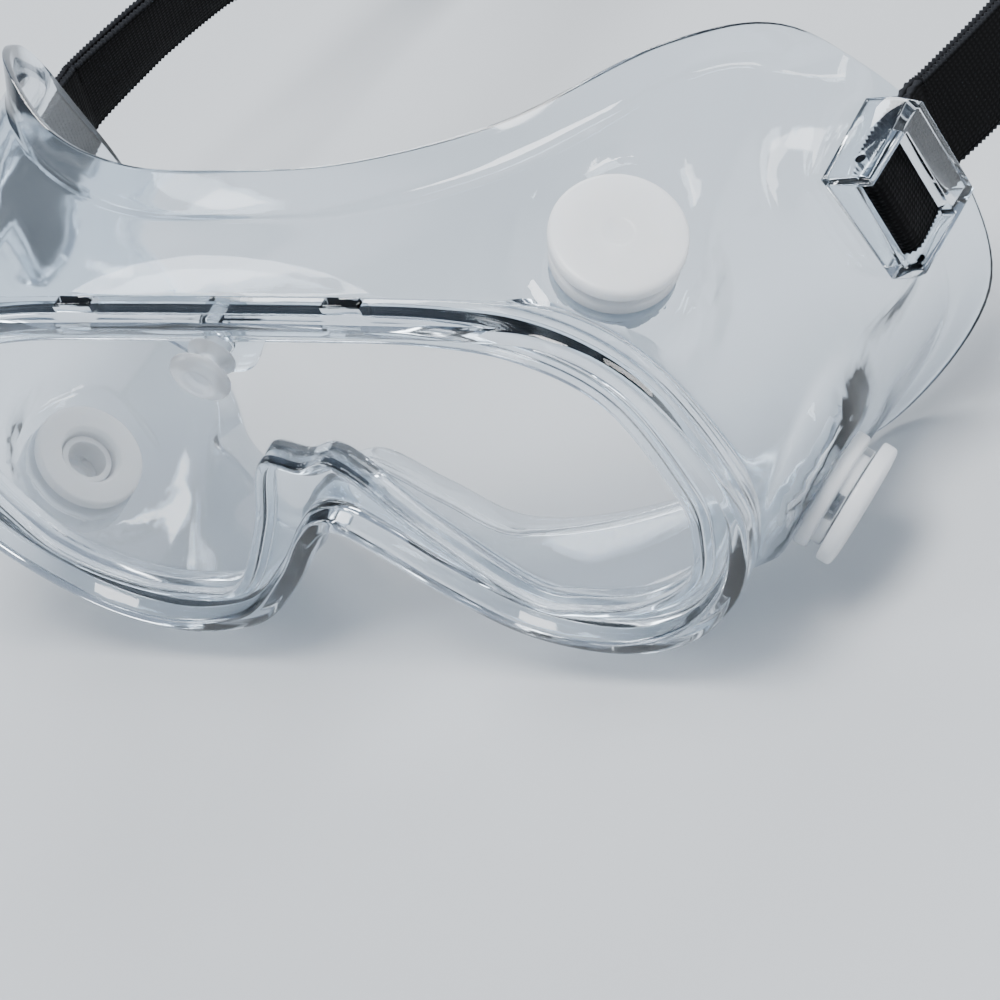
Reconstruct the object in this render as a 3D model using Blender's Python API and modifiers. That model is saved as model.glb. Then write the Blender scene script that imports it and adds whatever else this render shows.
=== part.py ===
"""Clear splash goggles: a soft frame with a face skirt, one wide lens, four round vents, two strap clips
and an elastic band with its two keepers.

Metres, +Z up. The wearer looks along -Y. The origin is the middle of the face seal, at the brow and nose
plane. Distances named below are in millimetres until MM turns them into metres.
"""

import math

import bmesh
import bpy
from mathutils import Matrix, Vector

MM = 0.001

# Driving dimensions, mm
FRONT_Y = -17.0  # the plane of the lens rim's inner lip
SAMPLES = 3  # stations between two outline points
WALL = 1.9  # skirt wall
FLARE_IN = 4.0  # how far the face flange turns outwards
FLARE_DEPTH = 5.0  # depth of the face flange
SKIRT_STEPS = 5
SKIRT_BULGE = 1.6
GAP = 0.3  # clearance between neighbouring pieces

LENS_GROOVE = 2.8  # how far the lens channel reaches behind the opening's edge
LENS_FRONT = 1.8
LENS_THICK = 1.8

VENT_R = 9.8
VENT_FLANGE_R = 9.3
VENT_INNER_R = 9.0
VENT_COLLAR_R = 7.9
VENT_NECK_R = 6.0
VENT_BORE_R = 4.6
VENT_STEM_R = 4.2
VENT_STEM_BORE_R = 3.2
VENT_COLLAR_TOP = 4.1
VENT_TOP = 7.1
VENT_PAD_R = 10.2
VENT_FLAT_R = 11.6
VENT_FADE_R = 16.5
VENT_STEPS = 24
VENTS = {
    "upper": (Vector((61.4, -1.4, 31.2)), Vector((0.53, -0.08, 0.84)).normalized()),
    "lower": (Vector((68.4, 6.2, -24.2)), Vector((0.77, -0.11, -0.63)).normalized()),
}

# The lens's two lock tabs, in the top of the rim, and the stud at its middle
TAB_X = 24.0
TAB_WIDTH = 6.2
TAB_TOP = 36.5
TAB_FOOT = 31.0
STUD_Z = 29.4
STUD_STEM_R = 2.0
STUD_HEAD_R = 5.3
STUD_TIP = 7.4
TONGUE_R = 7.0

# The strap clip. Its axes are outwards, back and up; the skirt under it is a little steeper.
CLIP_LENGTH = 16.4  # front to back
CLIP_HEIGHT = 20.8
CLIP_WALL = 2.0
CLIP_FACE = 4.9  # height of the side walls' upright part, below their slanted part
CLIP_FRONT_RISE = 7.3  # height of the side walls at the front end
CLIP_REAR_RISE = 8.9
CLIP_FRONT_WALL = 1.5
CLIP_FRONT_TOP = 4.2
CLIP_BAR = 5.6  # length of the rear bar
CLIP_BAR_LOW = 5.8
CLIP_CENTRE = Vector((77.3, 36.7, 5.5))
CLIP_OUT = Vector((0.996, -0.023, 0.077)).normalized()
PAD_NORMAL = Vector((0.985, -0.06, 0.16)).normalized()
CLIP_PAD = 13.5
CLIP_FADE = 21.0

# The band: it comes round the clip's rod, and its end lies folded back under it as far as the keeper
STRAP_WIDTH = 15.6
STRAP_THICK = 1.0
STRAP_LOW = 0.6  # how far the band sits below the clip's middle
ROD_R = 0.8
ROD_ALONG = -3.3
ROD_HEIGHT = 3.3
LOOP_R = ROD_R + GAP + STRAP_THICK / 2
LAYER = STRAP_THICK + GAP  # distance between the band and its folded-back end
# The band's middle line behind each clip, as x, y, z and its lean in degrees, the right side mirrored
BAND_LEFT = ((81.7, 51.3, 4.6, 7), (84.2, 56.7, 4.6, 8), (88.5, 67.1, 4.6, 8), (92.6, 83, 3.5, 6))
BAND_RIGHT = ((82.3, 57.7, 4.6, 13), (82.1, 62.7, 4.6, 18), (76.4, 77.0, 4.6, 24), (71.0, 91.4, 3.4, 20))
# The straight run of each side that carries the keeper, and the turn behind it
RUN_START = {"left": Vector((93.2, 99, 0.5)), "right": Vector((67.4, 104, 0.0))}
RUN_WAY = Vector((-0.20, 0.93, -0.30)).normalized()
RUN_POINTS = (0, 10, 44, 54)
TURN = {
    "left": (Vector((71.5, 170, -22.2)), Vector((44, 185.5, -28))),
    "right": (Vector((47.5, 168.5, -20.8)), Vector((26, 184.5, -27))),
}
STRAP_BACK = Vector((8, 190, -30.5))
BAND_STEPS = 4
KEEPER_AT = 27.0  # along the straight run
KEEPER_LENGTH = 9.0
KEEPER_WALL = 1.5

# Half outlines from the top centre to the nose centre: x, z on the front plane, mm
RIM = (
    (0, 36.0), (24, 35.8), (44, 35.2), (59, 33.0), (69.3, 22.5), (74.3, 1), (71.5, -11.5),
    (64.5, -22.5), (53, -32), (39.4, -35.6), (24.6, -32.5), (13, -23), (5, -14), (0, -10.3),
)
OPENING = (
    (0, 30.1), (19.7, 30.1), (36, 29.6), (50, 26.4), (60.2, 17.3), (63.4, -1), (62, -10),
    (57.2, -19.4), (46.5, -25.8), (35, -27.4), (26.3, -25.2), (15.2, -10.5), (7.0, 3.4), (0, 2.8),
)
# The face edge has its own depth behind the front plane: x, depth, z
FACE = (
    (0, 20, 45), (20.5, 22, 44.4), (41, 31.5, 42.6), (59.3, 47.5, 41.2), (70.2, 60.5, 32.0),
    (75.8, 68.5, 11.8), (78.6, 72, -9.3), (76.5, 68, -31), (63, 53, -42), (50, 40, -39.8),
    (30, 26.5, -36), (16, 20, -30.5), (8, 17, -19), (0, 16.5, -11.8),
)

CLEAR_PVC = ((0.80, 0.88, 0.96, 1), 0.12)
CLEAR_LENS = ((0.92, 0.96, 1.0, 1), 0.05)
MILKY = ((0.86, 0.89, 0.92, 1), 0.35)
BLACK_ELASTIC = ((0.012, 0.012, 0.013, 1), 0.9)
BLACK_PLASTIC = ((0.02, 0.02, 0.022, 1), 0.45)


def clear_scene():
    for obj in list(bpy.data.objects):
        bpy.data.objects.remove(obj, do_unlink=True)


def new_collection(name):
    collection = bpy.data.collections.new(name)
    bpy.context.scene.collection.children.link(collection)
    return collection


def add_object(name, data, collection, look=None):
    obj = bpy.data.objects.new(name, data)
    collection.objects.link(obj)
    if look:
        data.materials.append(look)
    return obj


def add_cutter(name, data):
    obj = add_object(name, data, cutters)
    obj.hide_render = True
    obj.display_type = "WIRE"
    return obj


def make_material(name, colour, roughness, transmission=0.0):
    look = bpy.data.materials.new(name)
    look.use_nodes = True
    shader = look.node_tree.nodes["Principled BSDF"]
    shader.inputs["Base Color"].default_value = colour
    shader.inputs["Roughness"].default_value = roughness
    shader.inputs["Metallic"].default_value = 0.0
    shader.inputs["Transmission Weight"].default_value = transmission
    return look


def mesh_from(bm, name, smooth=True):
    """The bmesh as mesh data in metres, its faces facing out."""
    bmesh.ops.scale(bm, vec=(MM, MM, MM), verts=bm.verts)
    bmesh.ops.recalc_face_normals(bm, faces=bm.faces)
    data = bpy.data.meshes.new(name)
    bm.to_mesh(data)
    bm.free()
    if smooth:
        data.shade_smooth()
        data.set_sharp_from_angle(angle=math.radians(35))
    return data


def boolean(obj, other, operation="DIFFERENCE"):
    modifier = obj.modifiers.new(operation.title(), "BOOLEAN")
    modifier.operation = operation
    modifier.object = other
    modifier.solver = "EXACT"


def applied(obj):
    """A mesh object of the same name with the curve or modifiers of obj baked in. It replaces obj."""
    bpy.context.view_layer.update()
    graph = bpy.context.evaluated_depsgraph_get()
    data = bpy.data.meshes.new_from_object(obj.evaluated_get(graph))
    name, place, home = obj.name, obj.matrix_world.copy(), obj.users_collection[0]
    bpy.data.objects.remove(obj, do_unlink=True)
    bm = bmesh.new()
    bm.from_mesh(data)
    bmesh.ops.remove_doubles(bm, verts=bm.verts, dist=1e-6)
    bm.to_mesh(data)
    bm.free()
    baked = add_object(name, data, home)
    baked.matrix_world = place
    return baked


def box(name, size, centre=(0, 0, 0), frame=None):
    """A box in millimetres. frame, a 4x4 matrix, turns its local axes and centre into the goggles' own."""
    bm = bmesh.new()
    bmesh.ops.create_cube(bm, size=1.0)
    bmesh.ops.scale(bm, vec=size, verts=bm.verts)
    bmesh.ops.translate(bm, vec=centre, verts=bm.verts)
    if frame:
        bmesh.ops.transform(bm, matrix=frame, verts=bm.verts)
    return mesh_from(bm, name, smooth=False)


def axis_frame(place, normal, up):
    """Local X along normal, local Z as near to up as it can be, origin at place."""
    across = up.cross(normal).normalized()
    upright = normal.cross(across)
    turn = Matrix((normal, across, upright)).transposed().to_4x4()
    return Matrix.Translation(place) @ turn


def mirrored(frame):
    return Matrix.Scale(-1, 4, (1, 0, 0)) @ frame


# Outlines and the frame


def between(a, b, c, d, t):
    """A point on the smooth curve through a, b, c and d, a share t of the way from b to c."""
    return 0.5 * (2 * b + (c - a) * t + (2 * a - 5 * b + 4 * c - d) * t**2 + (3 * b - a - 3 * c + d) * t**3)


def closed_loop(half):
    """A smooth closed loop through the half outline and its mirror image."""
    half = [Vector(point) for point in half]
    left = [Vector((-p[0], *p[1:])) for p in reversed(half[1:-1])]
    points = half + left
    count = len(points)
    loop = []
    for i in range(count):
        corners = [points[(i + k) % count] for k in (-1, 0, 1, 2)]
        loop.extend(between(*corners, step / SAMPLES) for step in range(SAMPLES))
    return loop


def inset(loop, distance):
    """Each point of a loop of (x, y, z), moved towards the loop's inside by distance."""
    moved = []
    for i, point in enumerate(loop):
        along = loop[(i + 1) % len(loop)] - loop[i - 1]
        inward = Vector((along.z, 0, -along.x)).normalized()
        moved.append(point + inward * distance)
    return moved


def at_depth(loop, depth):
    return [Vector((p.x, FRONT_Y + depth, p.z)) for p in loop]


def flat_loop(half):
    return closed_loop([(x, 0, z) for x, z in half])


def smoothstep(low, high, value):
    t = min(max((value - low) / (high - low), 0), 1)
    return t * t * (3 - 2 * t)


def settle(point, sunk):
    """Flattens the skirt under each vent and clip. sunk is 0 on the outer skin and WALL on the inner one."""
    side = 1 if point.x >= 0 else -1
    p = Vector((point.x * side, point.y, point.z))
    for centre, normal, near, far in PADS:
        height = (p - centre).dot(normal)
        reach = (p - centre - height * normal).length
        if abs(height) < 12:
            weight = 1 - smoothstep(near, far, reach)
            p -= normal * (height + sunk) * weight
    return Vector((p.x * side, p.y, p.z))


def skirt_rings(start, crease, sunk):
    """The rings of one skin of the skirt between the rim and the crease of the face flange."""
    rings = []
    for step in range(1, SKIRT_STEPS + 1):
        t = step / (SKIRT_STEPS + 1)
        ring = [a.lerp(b, t) for a, b in zip(start, crease)]
        ring = inset(ring, -SKIRT_BULGE * math.sin(math.pi * t) + sunk)
        rings.append([settle(p, sunk) for p in ring])
    return rings


def frame_rings():
    """The section of the frame at every station, as rings that follow each other round the section."""
    rim = flat_loop(RIM)
    opening = flat_loop(OPENING)
    face = [p + Vector((0, FRONT_Y, 0)) for p in closed_loop(FACE)]
    lens_back = LENS_FRONT + LENS_THICK + GAP

    rings = [at_depth(inset(opening, -d), y) for d, y in ((0, 0.4), (0.4, 0.0), (1.2, 0.1), (1.7, 0.8))]
    front = ((3.7, 0.8), (3.2, -1.2), (2.6, -1.6), (1.0, -1.6), (0, -0.7))
    rings += [at_depth(inset(rim, d), y) for d, y in front]
    rings += [at_depth(inset(rim, d), y) for d, y in ((0, 3.6), (1.2, 4.3))]

    crease = [p - Vector((0, FLARE_DEPTH, 0)) for p in inset(face, FLARE_IN)]
    rings += skirt_rings(rings[-1], crease, 0)
    rings.append([settle(p, 0) for p in crease])
    rings.append([settle(p, 0) for p in face])
    lip = [p + Vector((0, 0.9, 0)) for p in inset(face, 1.3)]
    rings.append([settle(p, WALL) for p in lip])
    inner_crease = inset(crease, WALL)
    rings.append([settle(p, WALL) for p in inner_crease])
    start = at_depth(inset(rim, 1.2), 4.3)
    rings += reversed(skirt_rings(start, crease, WALL))

    rings.append(at_depth(inset(rim, 1.2 + WALL), lens_back + 2.0))
    rings += [
        at_depth(inset(opening, -d), y)
        for d, y in (
            (0.2, lens_back + 2.0),
            (0.2, lens_back),
            (LENS_GROOVE, lens_back),
            (LENS_GROOVE, LENS_FRONT - GAP),
            (0, LENS_FRONT - GAP),
        )
    ]
    return rings


def loft(rings):
    """One closed band of quads through the rings, the last joined to the first."""
    bm = bmesh.new()
    verts = [[bm.verts.new(p) for p in ring] for ring in rings]
    for k, ring in enumerate(verts):
        after = verts[(k + 1) % len(verts)]
        for i in range(len(ring)):
            j = (i + 1) % len(ring)
            bm.faces.new((ring[i], ring[j], after[j], after[i]))
    return bm


def plate(name, outline, depth, thick):
    """A flat plate facing -Y: the filled outline of (x, z), its middle at depth behind the front plane."""
    curve = bpy.data.curves.new(name, "CURVE")
    curve.dimensions = "2D"
    curve.fill_mode = "BOTH"
    curve.extrude = thick / 2 * MM
    spline = curve.splines.new("POLY")
    spline.points.add(len(outline) - 1)
    for point, (x, z) in zip(spline.points, outline):
        point.co = (x * MM, z * MM, 0, 1)
    spline.use_cyclic_u = True
    obj = add_object(name, curve, parts)
    obj.rotation_euler = (math.radians(90), 0, 0)
    obj.location = (0, (FRONT_Y + depth) * MM, 0)
    return applied(obj)


def tongue_outline():
    """A half-round tongue with slanted shoulders under the middle of the rim's top edge."""
    turns = [math.radians(d) for d in range(-60, 61, 15)]
    arc = [(TONGUE_R * math.sin(a), 30.6 - TONGUE_R * math.cos(a)) for a in turns]
    return [(-10.0, 31.6)] + arc + [(10.0, 31.6)]


def lens_tabs():
    """The two tabs that lock the lens into the top of the rim, as (name, x)."""
    return (("left", -TAB_X), ("right", TAB_X))


def make_frame():
    frame = add_object("frame_skirt", mesh_from(loft(frame_rings()), "frame_skirt"), parts)
    tongue = plate("tongue", tongue_outline(), 0.8, 1.1)
    move_to_cutters(tongue)
    boolean(frame, tongue, "UNION")

    for level, (place, normal) in VENTS.items():
        for side in (1, -1):
            clearing = cylinder(f"clearing_{level}_{side}", VENT_PAD_R - 0.5, 16, 36)
            pad = cylinder(f"pad_{level}_{side}", VENT_PAD_R, WALL, 36)
            hole = cylinder(f"hole_{level}_{side}", VENT_NECK_R + GAP, 12, 24)
            put_on_axis(clearing, place, normal, side)
            put_on_axis(pad, place - normal * WALL / 2, normal, side)
            put_on_axis(hole, place, normal, side)
            boolean(frame, clearing)
            boolean(frame, pad, "UNION")
            boolean(frame, hole)
    for name, x in lens_tabs():
        height = TAB_TOP - TAB_FOOT + 2
        size = (TAB_WIDTH + 2 * GAP, LENS_THICK + 2 * GAP, height)
        centre = (x, FRONT_Y + LENS_FRONT + LENS_THICK / 2, TAB_FOOT + height / 2)
        boolean(frame, add_cutter(f"tab_slot_{name}", box(f"tab_slot_{name}", size, centre)))
    stud_hole = cylinder("stud_hole", STUD_STEM_R + GAP, 20, 20)
    stud_hole.matrix_world = stud_frame()
    boolean(frame, stud_hole)
    frame = applied(frame)
    frame.data.materials.clear()
    frame.data.materials.append(pvc)


def move_to_cutters(obj):
    for home in obj.users_collection:
        home.objects.unlink(obj)
    cutters.objects.link(obj)
    obj.hide_render = True
    obj.display_type = "WIRE"


def cylinder(name, radius, length, steps):
    bm = bmesh.new()
    bmesh.ops.create_cone(
        bm, cap_ends=True, segments=steps, radius1=radius, radius2=radius, depth=length
    )
    return add_cutter(name, mesh_from(bm, name))


def put_on_axis(obj, place, normal, side):
    """Puts an object's local +Z on the vent axis at place, or on its mirror image for side -1."""
    normal = Vector((normal.x * side, normal.y, normal.z))
    obj.location = Vector((place.x * side, place.y, place.z)) * MM
    obj.rotation_mode = "QUATERNION"
    obj.rotation_quaternion = normal.to_track_quat("Z", "Y")


def make_lens():
    edge = inset(flat_loop(OPENING), -(LENS_GROOVE - GAP))
    lens = plate("lens", [(p.x, p.z) for p in edge], LENS_FRONT + LENS_THICK / 2, LENS_THICK)
    for name, x in lens_tabs():
        size = (TAB_WIDTH, LENS_THICK, TAB_TOP - TAB_FOOT)
        centre = (x, FRONT_Y + LENS_FRONT + LENS_THICK / 2, (TAB_TOP + TAB_FOOT) / 2)
        tab = add_cutter(f"lens_tab_{name}", box(f"lens_tab_{name}", size, centre))
        boolean(lens, tab, "UNION")
    hole = cylinder("lens_stud_hole", STUD_STEM_R + GAP, 12, 20)
    hole.matrix_world = stud_frame()
    boolean(lens, hole)
    lens = applied(lens)
    lens.data.materials.clear()
    lens.data.materials.append(clear_lens)


# Turned pieces


def turned(name, profile, look, steps, closed):
    """A profile of (radius, height) turned about local Z. It runs down its outer side first."""
    data = bpy.data.meshes.new(name)
    edges = [(i, i + 1) for i in range(len(profile) - 1)]
    if closed:
        edges.append((len(profile) - 1, 0))
    data.from_pydata([(r * MM, 0, z * MM) for r, z in profile], edges, [])
    obj = add_object(name, data, parts, look)
    screw = obj.modifiers.new("Turn", "SCREW")
    screw.axis = "Z"
    screw.steps = steps
    screw.render_steps = steps
    screw.use_merge_vertices = True
    screw.merge_threshold = 0.00001
    screw.use_smooth_shade = True
    return obj


def vent_body_profile():
    inner = -WALL - GAP
    step = 2.5
    return (
        (VENT_BORE_R, VENT_COLLAR_TOP), (VENT_COLLAR_R, VENT_COLLAR_TOP), (VENT_COLLAR_R, step),
        (VENT_FLANGE_R - 0.3, step), (VENT_FLANGE_R, step - 0.3), (VENT_FLANGE_R, GAP),
        (VENT_NECK_R, GAP), (VENT_NECK_R, inner), (VENT_INNER_R, inner), (VENT_INNER_R, inner - 1.7),
        (VENT_INNER_R - 0.3, inner - 2.0), (VENT_BORE_R + 0.5, inner - 2.0), (VENT_BORE_R, inner - 1.5),
    )


def vent_cap_profile():
    under, top = VENT_COLLAR_TOP + GAP, VENT_TOP
    foot = -2.6
    return (
        (0, top - 0.25), (VENT_R - 1.6, top - 0.25), (VENT_R - 1.2, top), (VENT_R - 0.5, top),
        (VENT_R, top - 0.5), (VENT_R, under + 0.4), (VENT_R - 0.4, under), (VENT_STEM_R, under),
        (VENT_STEM_R, foot), (VENT_STEM_BORE_R, foot), (VENT_STEM_BORE_R, under + 0.4), (0, under + 0.4),
    )


def windowed(name, profile, look, closed, reach, height, middle):
    """A turned piece with four air windows cut through its wall."""
    master = turned(name, profile, look, VENT_STEPS, closed)
    for k in range(2):
        turn = Matrix.Rotation(math.radians(45 + 90 * k), 4, "Z")
        size = (reach, 4.4, height)
        cutter = add_cutter(f"{name}_window_{k}", box(f"{name}_window_{k}", size, (0, 0, middle), turn))
        boolean(master, cutter)
    return applied(master)


def make_vents():
    body = windowed("vent_body", vent_body_profile(), milky, True, 30, 1.3, 3.3)
    cap = windowed("vent_cap", vent_cap_profile(), milky, False, 12, 1.6, 2.6)
    for level, (place, normal) in VENTS.items():
        for side, hand in ((1, "left"), (-1, "right")):
            for master in (body, cap):
                copy = add_object(f"{master.name}_{level}_{hand}", master.data, parts)
                put_on_axis(copy, place, normal, side)
    for master in (body, cap):
        bpy.data.objects.remove(master, do_unlink=True)


def stud_frame():
    """Local +Z points out of the front of the lens, along the stud."""
    turn = Matrix.Rotation(math.radians(90), 4, "X")
    return Matrix.Translation(Vector((0, FRONT_Y, STUD_Z)) * MM) @ turn


def make_stud():
    stem_end = -(LENS_FRONT + LENS_THICK + GAP + 4.2)
    profile = (
        (0, STUD_TIP), (3.2, STUD_TIP - 0.2), (4.8, 6.5), (STUD_HEAD_R, 5.9), (STUD_HEAD_R, 5.5), (5.0, 5.2),
        (2.4, 4.9), (1.7, 4.2), (1.7, 2.6), (STUD_HEAD_R, 2.3), (STUD_HEAD_R, 2.0), (STUD_STEM_R, 2.0),
        (STUD_STEM_R, -6.0), (1.6, stem_end), (0, stem_end),
    )
    stud = turned("lens_stud", profile, milky, 20, False)
    stud.matrix_world = stud_frame()
    back = -(LENS_FRONT + LENS_THICK + GAP + 2.0 + GAP)
    ring = (
        (STUD_STEM_R + GAP, back), (3.6, back), (3.6, back - 0.9), (3.3, back - 1.3),
        (STUD_STEM_R + GAP, back - 1.3),
    )
    washer = turned("lens_stud_washer", ring, milky, 20, True)
    washer.matrix_world = stud_frame()


# Strap clips, strap and keepers


def clip_frame():
    """Local X is outwards from the skirt, Y is back and Z is up along the clip, origin on the skirt."""
    return axis_frame(CLIP_CENTRE, CLIP_OUT, Vector((0, 0, 1)))


def pad_frame():
    return axis_frame(CLIP_CENTRE, PAD_NORMAL, Vector((0, 0, 1)))


def clip_section():
    """Half of the clip's outer section as (height, up), from its foot to its slanted top."""
    half = CLIP_HEIGHT / 2
    inner = half - CLIP_WALL + 0.25
    return ((-3.0, half), (CLIP_FACE, half), (CLIP_REAR_RISE + 1.0, inner))


def clip_block(name):
    """The clip's outer form without its windows: the section drawn out from front to back."""
    bm = bmesh.new()
    upper = clip_section()
    outline = [(h, v) for h, v in upper] + [(h, -v) for h, v in reversed(upper)]
    ends = [[bm.verts.new((h, y, v)) for h, v in outline] for y in (-CLIP_LENGTH / 2, CLIP_LENGTH / 2)]
    count = len(outline)
    for i in range(count):
        j = (i + 1) % count
        bm.faces.new((ends[0][i], ends[0][j], ends[1][j], ends[1][i]))
    bm.faces.new(ends[0])
    bm.faces.new(ends[1])
    return mesh_from(bm, name, smooth=False)


def turned_box(name, size, centre, axis, angle):
    turn = Matrix.Translation(centre) @ Matrix.Rotation(angle, 4, axis)
    return box(name, size, (0, 0, 0), turn)


def clip_cuts(name):
    """The windows cut from the clip's block, in its own frame."""
    clear = CLIP_HEIGHT - 2 * CLIP_WALL
    half = CLIP_LENGTH / 2
    front = CLIP_FRONT_WALL - half
    bar = half - CLIP_BAR
    slope = math.atan2(CLIP_REAR_RISE - CLIP_FRONT_RISE, CLIP_LENGTH)
    rise = (CLIP_FRONT_RISE + CLIP_REAR_RISE) / 2
    tall = 12.0
    return (
        box(name, (tall, 30, clear), (CLIP_BAR_LOW - tall / 2, front + 15, 0)),
        box(name, (2 * tall, bar - front, clear), (tall - 4, (bar + front) / 2, 0)),
        box(name, (tall, 4, clear), (CLIP_FRONT_TOP + tall / 2, front - 1.5, 0)),
        turned_box(name, (tall, 40, 40), Vector((rise + tall / 2, 0, 0)), "Z", -slope),
    )


def make_clip(hand, frame, pad):
    name = f"strap_clip_{hand}"
    home = metric(frame)
    clip = add_object(name, clip_block(name), parts, pvc)
    clip.matrix_world = home
    foot = add_cutter(f"{name}_foot", box(f"{name}_foot", (12, 40, 40), (GAP - 6, 0, 0)))
    foot.matrix_world = metric(pad)
    for k, data in enumerate(clip_cuts(name)):
        cutter = add_cutter(f"{name}_cut_{k}", data)
        cutter.matrix_world = home
        boolean(clip, cutter)
    boolean(clip, foot)
    rod = cylinder(f"{name}_rod", ROD_R, CLIP_HEIGHT - 2.0, 12)
    rod.matrix_world = home @ Matrix.Translation(Vector((ROD_HEIGHT, ROD_ALONG, 0)) * MM)
    boolean(clip, rod, "UNION")


def metric(frame):
    """The frame with its place in metres and its turn unchanged, for an object's matrix."""
    turn = frame.to_3x3()
    if turn.determinant() < 0:
        turn = turn @ Matrix.Diagonal((1, 1, -1))
    return Matrix.Translation(frame.translation * MM) @ turn.to_4x4()


def leaning(degrees):
    """The direction of the band's width, leaning in at its top by an angle."""
    angle = math.radians(degrees)
    return Vector((-math.sin(angle), 0, math.cos(angle)))


def in_clip(along, height):
    """A point of the band's middle line in the clip, with the width direction there."""
    frame = clip_frame()
    return frame @ Vector((height, along, -STRAP_LOW)), frame.to_3x3().col[2].copy()


def run_point(hand, distance):
    return RUN_START[hand] + RUN_WAY * distance


def band_controls(hand):
    """Points that the band passes through, from the clip's rod to the back, with the width direction."""
    upper = ROD_HEIGHT + LOOP_R
    controls = [in_clip(ROD_ALONG, upper), in_clip(3.0, upper), in_clip(8.2, 4.1), in_clip(12.0, 3.5)]
    points = BAND_LEFT if hand == "left" else BAND_RIGHT
    controls += [(Vector(point[:3]), leaning(point[3])) for point in points]
    controls += [(run_point(hand, distance), leaning(4)) for distance in RUN_POINTS]
    side = 1 if hand == "left" else -1
    back = Vector((STRAP_BACK.x * side, STRAP_BACK.y, STRAP_BACK.z))
    beyond = TURN["right" if hand == "left" else "left"][-1]
    turn = [*TURN[hand], back, Vector((-beyond.x, beyond.y, beyond.z))]
    return controls + [(point, leaning(0)) for point in turn]


def smooth_stations(controls, steps):
    """Stations on the smooth curve through the controls, from the first to the last but one."""
    controls = [controls[0]] + controls
    stations = []
    for i in range(1, len(controls) - 2):
        for step in range(steps):
            corners = controls[i - 1 : i + 3]
            t = step / steps
            place = between(*(c[0] for c in corners), t)
            stations.append((place, corners[1][1].lerp(corners[2][1], t)))
    stations.append(controls[-2])
    return stations


def folded_end(hand, stations):
    """The folded-back end, from its tip under the straight run to the foot of the clip's rod."""
    last = (len(band_controls(hand)) - 5) * BAND_STEPS
    first = 2 * BAND_STEPS
    under = []
    for k in range(first, last + 1):
        place, width = stations[k]
        way = stations[k + 1][0] - stations[k - 1][0]
        under.append((place - way.cross(width).normalized() * LAYER, width))
    lower = ROD_HEIGHT - LOOP_R
    return list(reversed(under)) + [in_clip(3.0, lower), in_clip(ROD_ALONG, lower)]


def side_of_band(hand):
    """One side's stations from the tip of its folded-back end to the middle of the back."""
    stations = smooth_stations(band_controls(hand), BAND_STEPS)
    loop = []
    for k in range(1, 8):
        turn = -math.pi / 2 - math.pi * k / 8
        loop.append(in_clip(ROD_ALONG + LOOP_R * math.cos(turn), ROD_HEIGHT + LOOP_R * math.sin(turn)))
    return folded_end(hand, stations) + loop + stations


def strap_rows():
    """The four corners of the band's section at each station, from the left tip round to the right one."""
    left, right = side_of_band("left"), side_of_band("right")
    flip = Vector((-1, 1, 1))
    whole = left + [(p * flip, w * flip) for p, w in reversed(right[:-1])]
    rows = []
    for k, (place, width) in enumerate(whole):
        way = (whole[min(k + 1, len(whole) - 1)][0] - whole[max(k - 1, 0)][0]).normalized()
        normal = way.cross(width).normalized()
        width = normal.cross(way).normalized()
        thick, wide = normal * STRAP_THICK / 2, width * STRAP_WIDTH / 2
        rows.append([place + thick + wide, place + thick - wide, place - thick - wide, place - thick + wide])
    return rows


def make_strap():
    bm = bmesh.new()
    rows = [[bm.verts.new(corner) for corner in row] for row in strap_rows()]
    for one, two in zip(rows, rows[1:]):
        for i in range(4):
            j = (i + 1) % 4
            bm.faces.new((one[i], one[j], two[j], two[i]))
    bm.faces.new(rows[0])
    bm.faces.new(rows[-1])
    add_object("strap", mesh_from(bm, "strap"), parts, elastic)


def keeper_frame(hand):
    """On the straight run, halfway between the band's two layers: X outwards, Y along it, Z up."""
    normal = RUN_WAY.cross(leaning(4)).normalized()
    upright = normal.cross(RUN_WAY)
    place = run_point(hand, KEEPER_AT) - normal * LAYER / 2
    frame = Matrix.Translation(place) @ Matrix((normal, RUN_WAY, upright)).transposed().to_4x4()
    return frame if hand == "left" else mirrored(frame)


def make_keeper(hand):
    """A flat ring round both layers of the band."""
    name = f"strap_slider_{hand}"
    home = metric(keeper_frame(hand))
    inside = (LAYER + STRAP_THICK + 2 * GAP, 2 * KEEPER_LENGTH, STRAP_WIDTH + 2 * GAP)
    outside = (inside[0] + 2 * KEEPER_WALL, KEEPER_LENGTH, inside[2] + 2 * KEEPER_WALL)
    keeper = add_object(name, box(name, outside), parts, black_plastic)
    keeper.matrix_world = home
    cutter = add_cutter(f"{name}_hollow", box(f"{name}_hollow", inside))
    cutter.matrix_world = home
    bevel = keeper.modifiers.new("Round edges", "BEVEL")
    bevel.width = 0.6 * MM
    bevel.segments = 2
    bevel.limit_method = "ANGLE"
    boolean(keeper, cutter)


PADS = [(place, normal, VENT_FLAT_R, VENT_FADE_R) for place, normal in VENTS.values()]
PADS.append((CLIP_CENTRE, PAD_NORMAL, CLIP_PAD, CLIP_FADE))

clear_scene()
parts = new_collection("safety_goggles")
cutters = new_collection("cutters")
pvc = make_material("clear_pvc", *CLEAR_PVC, transmission=0.9)
clear_lens = make_material("clear_lens", *CLEAR_LENS, transmission=1.0)
milky = make_material("milky_plastic", *MILKY, transmission=0.2)
elastic = make_material("black_elastic", *BLACK_ELASTIC)
black_plastic = make_material("black_plastic", *BLACK_PLASTIC)

make_frame()
make_lens()
make_stud()
make_vents()
make_strap()
make_clip("left", clip_frame(), pad_frame())
make_clip("right", mirrored(clip_frame()), mirrored(pad_frame()))
for hand in ("left", "right"):
    make_keeper(hand)
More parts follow.
